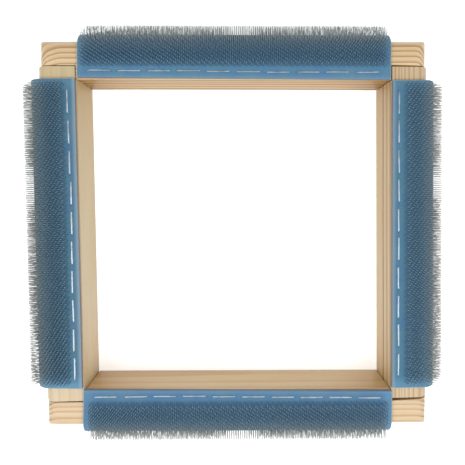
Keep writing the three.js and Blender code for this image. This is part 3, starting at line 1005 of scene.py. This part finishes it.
def screw_mesh(name, material):
    below_head = np.arange(0.8, SCREW_LENGTH - 0.01, THREAD_STEP)
    depths = np.concatenate([[0.0, 0.15, HEAD_RIM], below_head, [SCREW_LENGTH]])
    points, faces = lathe([(1.0, depth) for depth in depths], SCREW_SIDES, 0.0, 0.0, 0.0)
    scaled = []
    for index, (x, y, z) in enumerate(points):
        radius = screw_radius(-y, (index % SCREW_SIDES) / SCREW_SIDES)
        scaled.append((x * radius, y, z * radius))
    return mesh_from(name, scaled, faces, [material], smooth_angle=35.0)


# The cross recess is cut from the head by two crossed, tapered blades
def recess_cutter():
    points, faces = [], []
    for blade in range(2):
        for depth, span, width in RECESS:
            for x, z in ((-span, -width), (span, -width), (span, width), (-span, width)):
                points.append((x, -depth, z) if blade == 0 else (-z, -depth, x))
        block = ([3, 2, 1, 0], [4, 5, 6, 7], [1, 5, 4, 0], [2, 6, 5, 1], [3, 7, 6, 2], [0, 4, 7, 3])
        faces += [[blade * 8 + v for v in face] for face in block]
    return linked("recess_cutter", mesh_from("recess_cutter", points, faces, []))


def build_screws(material):
    blank = linked("screw_blank", screw_mesh("screw_blank", material))
    finished = carved(blank, recess_cutter())
    bpy.data.objects.remove(blank)
    for side in LONG_SIDES:
        for node, run, face, level in screw_places(side):
            piece = show(f"{node}_steel", finished.copy(), None, [node])
            seat = Vector((run, face - SCREW_SINK, level)) * MM
            piece.matrix_world = turned(side) @ Matrix.Translation(seat)


# Each bar's wood: its tones, its pith and the rings that show, then how they bend, stray and darken.
# Its inner tone is painted shade on the inner wall; on the side bars the paler front end is a painted sheen
PINE_LOOKS = {
    "rear": {
        "tones": {
            "start": srgb(212, 191, 154), "finish": srgb(213, 190, 151), "amber": srgb(202, 162, 114),
            "late": srgb(132, 96, 64), "inner": (0.79, 0.695, 0.49, 1.0),
        },
        "pith": (212.0, -4.0), "rings": (58.5, 65.6, 68.7, 72.1, 75.9, 79.6), "reach": (36.0, 92.0),
        "usual_ring": 4.0, "taper": 0.005, "sway": 1.2, "dips": ((9.5, 22.0), (6.0, 13.0)),
        "late": 0.72, "juvenile": 30.0, "seed": 1.0, "inner_rise": 11.3, "wall_lines": 2.4,
    },
    "front": {
        "tones": {
            "start": srgb(212, 189, 154), "finish": srgb(212, 188, 154), "amber": srgb(206, 168, 122),
            "late": srgb(142, 106, 74), "inner": (0.885, 0.86, 0.76, 1.0),
        },
        "pith": (85.0, 8.0), "rings": (76.5, 80.0, 84.2, 89.9), "reach": (50.0, 102.0), "usual_ring": 5.0,
        "taper": -0.004, "sway": 1.5, "dips": ((5.0, 12.0), (6.0, 11.0)),
        "late": 0.54, "juvenile": 70.0, "seed": 21.0, "inner_rise": 0.0, "wall_lines": 1.7,
    },
    "left": {
        "tones": {
            "start": srgb(206, 189, 160), "finish": srgb(193, 175, 138), "amber": srgb(196, 168, 124),
            "late": srgb(172, 142, 102), "inner": (0.88, 0.88, 0.85, 1.0),
        },
        "pith": (60.0, 30.0), "rings": (95.9, 104.9, 113.9), "reach": (76.0, 124.0), "usual_ring": 9.0,
        "taper": 0.0, "sway": 3.0, "dips": ((0.0, 9.0), (0.0, 9.0)),
        "late": 0.2, "juvenile": 90.0, "seed": 41.0, "inner_rise": 0.0, "wall_lines": 1.0,
    },
    "right": {
        "tones": {
            "start": srgb(196, 175, 141), "finish": srgb(203, 184, 152), "amber": srgb(192, 156, 112),
            "late": srgb(134, 100, 70), "inner": (0.885, 0.865, 0.77, 1.0),
        },
        "pith": (60.0, 3.0), "rings": (79.4, 82.8, 86.4, 90.6, 94.8, 97.7, 99.5, 102.4, 106.0, 109.8, 115.4),
        "reach": (76.0, 126.0), "usual_ring": 3.6,
        "taper": 0.0, "sway": 1.2, "dips": ((0.0, 9.0), (0.0, 9.0)),
        "late": 0.62, "juvenile": 70.0, "seed": 61.0, "inner_rise": 0.0, "wall_lines": 1.9,
    },
}

# Each side's staple steel, tarnished and bright; the sides are lighter or darker than each other as painted
# light
STAPLE_TONES = {
    "rear": (srgb(132, 148, 164), srgb(160, 174, 186)),
    "left": (srgb(156, 170, 182), srgb(188, 199, 208)),
    "front": (srgb(136, 149, 164), srgb(162, 174, 185)),
    "right": (srgb(144, 160, 175), srgb(175, 187, 198)),
}
FIRST_SEED = 100

# The object
plies = ply_material()
zinc = wire_material("yellow_zinc", srgb(180, 156, 90), srgb(204, 186, 124), 0.3, 0.4)
for order, side in enumerate(SIDES):
    generator = np.random.default_rng(FIRST_SEED + order)
    places = staple_places(side, generator)
    build_bar(side, pine_material(f"pine_{side}", PINE_LOOKS[side]))
    build_cloth(side, places, rubber_material(side), plies, generator)
    build_pins(side, pin_material(side), generator)
    dark, light = STAPLE_TONES[side]
    staple_steel = wire_material(f"{side}_staple_steel", dark, light, 0.42, 0.15)
    build_staples(side, places, staple_steel, generator)
    build_lower_staples(side, places, staple_steel, generator)
build_screws(zinc)


# Stage: a bright pale floor, a white surround and two soft boxes overhead, left and right in front
FLOOR_HALF = 3000.0
FLOOR_GLOW = 0.55
SURROUND = 0.55
SOFT_BOX_SIZE = 1.2
SOFT_BOX_PLACES = ((-0.95, -0.6, 1.7), (0.95, -0.6, 1.7))
SOFT_BOX_POWER = 18.0


def build_floor():
    signs = ((-1, -1), (1, -1), (1, 1), (-1, 1))
    corners = [(x * FLOOR_HALF, y * FLOOR_HALF, 0.0) for x, y in signs]
    g = Graph("pale_floor")
    g.set(Base_Color=(0.85, 0.85, 0.85, 1.0), Roughness=1.0, Specular_IOR_Level=0.0)
    g.set(Emission_Color=(1.0, 1.0, 1.0, 1.0), Emission_Strength=FLOOR_GLOW)
    floor = linked("floor", mesh_from("floor", corners, [[0, 1, 2, 3]], [g.material]))


def build_lights():
    world = bpy.data.worlds.new("studio")
    bpy.context.scene.world = world
    world.use_nodes = True
    background = world.node_tree.nodes["Background"]
    background.inputs["Color"].default_value = (1.0, 1.0, 1.0, 1.0)
    background.inputs["Strength"].default_value = SURROUND
    for number, place in enumerate(SOFT_BOX_PLACES, 1):
        light = bpy.data.lights.new(f"soft_box_{number}", "AREA")
        light.shape = "SQUARE"
        light.size = SOFT_BOX_SIZE
        light.energy = SOFT_BOX_POWER
        soft_box = linked(f"soft_box_{number}", light)
        soft_box.location = place
        soft_box.rotation_euler = Vector(place).to_track_quat("Z", "Y").to_euler()


# Camera: fitted to the photograph's corners of the opening and of the bars. The photograph is
# cropped, so its optical centre lies right of and above the middle of the picture.
IMAGE_SIZE = 465
SENSOR_WIDTH = 36.0
FOCAL_PIXELS = 469.4
OPTICAL_CENTRE = (244.1, 204.4)
CAMERA_PLACE = (3.83, 44.31, 467.37)
CAMERA_TURN = (2.105, 0.494, 0.358)


def build_camera():
    data = bpy.data.cameras.new("camera")
    data.sensor_width = SENSOR_WIDTH
    data.lens = FOCAL_PIXELS / IMAGE_SIZE * SENSOR_WIDTH
    data.shift_x = 0.5 - OPTICAL_CENTRE[0] / IMAGE_SIZE
    data.shift_y = OPTICAL_CENTRE[1] / IMAGE_SIZE - 0.5
    camera = linked("camera", data)
    turn = Vector([math.radians(v) for v in CAMERA_TURN])
    rotation = Matrix.Rotation(-turn.length, 4, turn.normalized())
    camera.matrix_world = Matrix.Translation(Vector(CAMERA_PLACE) * MM) @ rotation
    bpy.context.scene.camera = camera


build_floor()
build_lights()
build_camera()
bpy.context.scene.view_settings.view_transform = "Standard"
